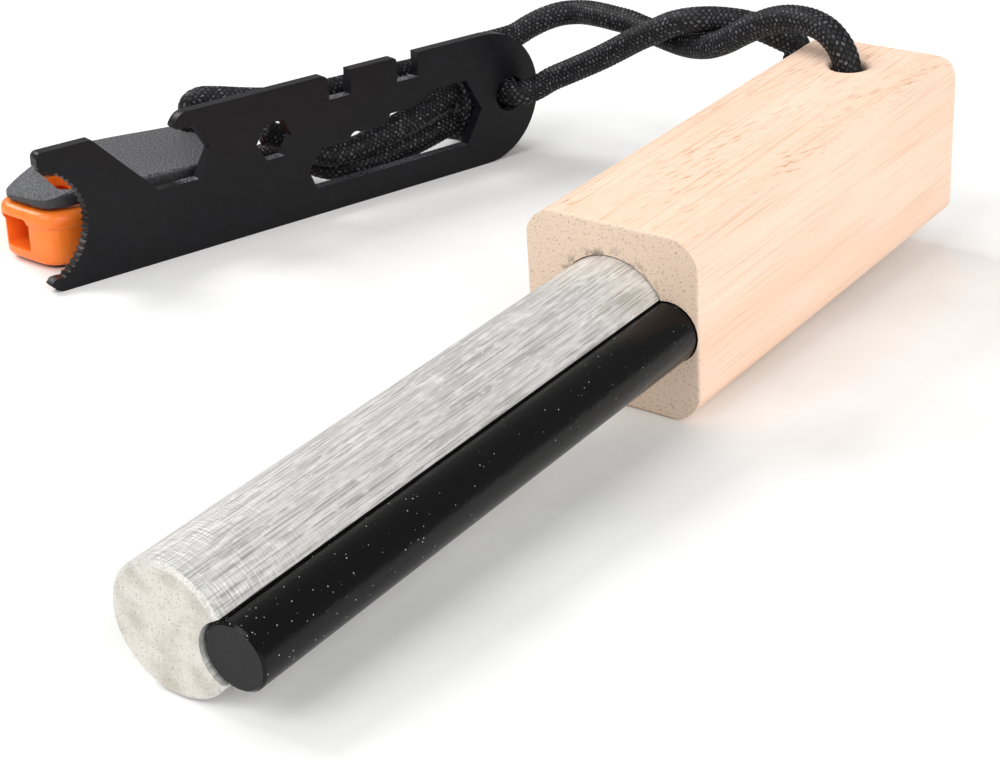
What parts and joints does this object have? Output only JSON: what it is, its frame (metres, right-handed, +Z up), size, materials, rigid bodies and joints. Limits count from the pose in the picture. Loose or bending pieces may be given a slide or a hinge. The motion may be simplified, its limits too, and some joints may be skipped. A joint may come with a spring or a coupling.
{
  "type": "fire starter",
  "caption": "Fire starter with a magnesium rod and a ferro rod in a wooden handle, and a steel striker and a flat whistle tied to it by a braided cord.",
  "frame": {"origin": "centre of the underside of the box round the rigid pieces (the cord and its knot left out), on the floor they rest on", "axes": "-X the way the rods point, +X towards the handle's rear, +Y from the handle towards the striker and the whistle, +Z up"},
  "size_m": [0.1661, 0.1231, 0.0355],
  "materials": {
    "beech": "pale beech, sanded and oiled, satin",
    "magnesium": "dull silver-grey magnesium, scratched and spotted with oxide",
    "ferrocerium": "black, glossy, finely pitted",
    "epoxy": "set amber adhesive, glossy",
    "coated_steel": "black satin coating, worn at the edges",
    "black_plastic": "charcoal black, fine spark-eroded grain",
    "orange_plastic": "bright orange, smooth and glossy",
    "braid": "black herringbone braid with a slight sheen"
  },
  "bodies": {
    "handle_and_rods": {"handle": "beech", "magnesium_rod": "magnesium", "ferro_rod": "ferrocerium", "rod_adhesive": "epoxy", "lanyard_front_strand": "braid", "lanyard_under_handle": "braid", "lanyard_rear_strand": "braid", "whistle_loop_upper": "braid", "whistle_loop_lower": "braid", "lanyard_tail": "braid", "lanyard_knot": "braid"},
    "striker_plate": {"striker": "coated_steel"},
    "whistle": {"whistle_bottom_shell": "black_plastic", "whistle_body": "orange_plastic", "whistle_top_shell": "black_plastic"}
  },
  "joints": [
    {"name": "striker_swing", "type": "hinge", "parent": "handle_and_rods", "child": "striker_plate", "pos_m": [0.07288, 0.01852, 0.0111], "axis": [0.2469, 0.969, 0], "range_deg": [0, 65]},
    {"name": "whistle_swing", "type": "hinge", "parent": "handle_and_rods", "child": "whistle", "pos_m": [0.0301, 0.04925, 0.0057], "axis": [0, 0, 1], "range_deg": [-90, 3]}
  ]
}
